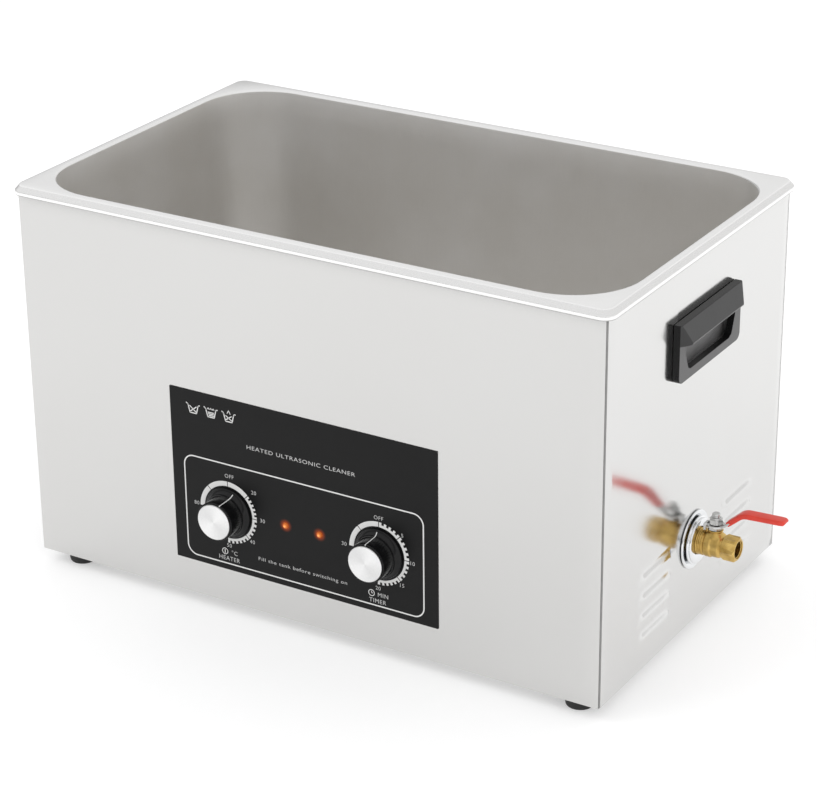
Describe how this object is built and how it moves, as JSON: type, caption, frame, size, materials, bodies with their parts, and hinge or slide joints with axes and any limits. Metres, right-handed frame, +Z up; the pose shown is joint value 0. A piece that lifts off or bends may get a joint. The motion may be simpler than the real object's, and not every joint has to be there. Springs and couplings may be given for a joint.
{
  "type": "ultrasonic cleaner",
  "caption": "Bench ultrasonic cleaner: stainless cabinet with a deep open tank, dial controls, recessed carrying handles and a lever ball valve drain.",
  "frame": {"origin": "middle of the bottom of the bounding box, level with the rubber feet's soles", "axes": "+X to the right, out of the side that carries the drain valve; -Y out of the control panel; +Z up"},
  "size_m": [0.6134, 0.34, 0.335],
  "materials": {
    "cabinet_steel": "satin",
    "tank_steel": "drawn satin",
    "overlay_film": "fine matte film",
    "knob_black": "gloss",
    "spun_aluminium": "spun",
    "control_black": "moulded",
    "shaft_aluminium": "turned",
    "lamp_orange": "lit lens",
    "rubber": "moulded",
    "handle_black": "satin moulded",
    "chrome": "polished",
    "brass": "machined",
    "lever_steel": "zinc plated",
    "red_vinyl": "dipped vinyl",
    "transducer_metal": "machined",
    "heater_silicone": "silicone mat",
    "circuit_board": "solder mask",
    "ferrite": "sintered",
    "fan_black": "moulded",
    "inlet_black": "moulded"
  },
  "bodies": {
    "cabinet": {"front_panel": "cabinet_steel", "rear_panel": "cabinet_steel", "right_panel": "cabinet_steel", "left_panel": "cabinet_steel", "tank": "tank_steel", "base_plate": "tank_steel", "control_overlay": "overlay_film", "thermostat_body": "control_black", "timer_body": "control_black", "heat_sink": "shaft_aluminium", "heater_lamp": "lamp_orange", "timer_lamp": "lamp_orange", "foot_front_left": "rubber", "foot_front_right": "rubber", "foot_rear_left": "rubber", "foot_rear_right": "rubber", "drain_gasket": "rubber", "right_handle_cup": "handle_black", "right_handle_grip": "handle_black", "left_handle_cup": "handle_black", "left_handle_grip": "handle_black", "drain_outlet": "chrome", "wall_washer": "chrome", "lock_nut": "chrome", "drain_nut": "brass", "drain_elbow": "brass", "valve_body": "brass", "packing_nut": "lever_steel", "transducer_1": "transducer_metal", "transducer_2": "transducer_metal", "transducer_3": "transducer_metal", "transducer_4": "transducer_metal", "transducer_5": "transducer_metal", "transducer_6": "transducer_metal", "transducer_7": "transducer_metal", "transducer_8": "transducer_metal", "transducer_9": "transducer_metal", "transducer_10": "transducer_metal", "heater_pad_left": "heater_silicone", "heater_pad_right": "heater_silicone", "generator_board": "circuit_board", "output_transformer": "ferrite", "fan_frame": "fan_black", "mains_inlet": "inlet_black", "power_switch_body": "inlet_black"},
    "heater_dial": {"heater_knob": "knob_black", "heater_knob_cap": "spun_aluminium", "thermostat_shaft": "shaft_aluminium"},
    "timer_dial": {"timer_knob": "knob_black", "timer_knob_cap": "spun_aluminium", "timer_shaft": "shaft_aluminium"},
    "drain_lever": {"valve_ball": "chrome", "valve_stem": "lever_steel", "valve_lever": "lever_steel", "lever_sleeve": "red_vinyl", "lever_nut": "lever_steel"},
    "fan_rotor": {"fan_rotor": "fan_black"},
    "fuse_drawer": {"fuse_drawer": "inlet_black"},
    "power_rocker": {"power_switch_rocker": "inlet_black"}
  },
  "joints": [
    {"name": "heater_dial_turn", "type": "hinge", "parent": "cabinet", "child": "heater_dial", "pos_m": [-0.10195, -0.148, 0.0937], "axis": [0, 1, 0], "range_deg": [-20, 250]},
    {"name": "timer_dial_turn", "type": "hinge", "parent": "cabinet", "child": "timer_dial", "pos_m": [0.03845, -0.148, 0.0937], "axis": [0, 1, 0], "range_deg": [0, 270]},
    {"name": "drain_lever_turn", "type": "hinge", "parent": "cabinet", "child": "drain_lever", "pos_m": [0.24825, 0.0085, 0.086], "axis": [0, 0, 1], "range_deg": [-90, 0]},
    {"name": "power_rocker_tilt", "type": "hinge", "parent": "cabinet", "child": "power_rocker", "pos_m": [-0.14725, 0.162, 0.074], "axis": [1, 0, 0], "range_deg": [-20, 0]},
    {"name": "fuse_drawer_slide", "type": "slide", "parent": "cabinet", "child": "fuse_drawer", "axis": [0, 1, 0], "range_m": [0, 0.016]},
    {"name": "fan_spin", "type": "hinge", "parent": "cabinet", "child": "fan_rotor", "pos_m": [0.10775, 0.1515, 0.078], "axis": [0, 1, 0], "continuous": true}
  ]
}
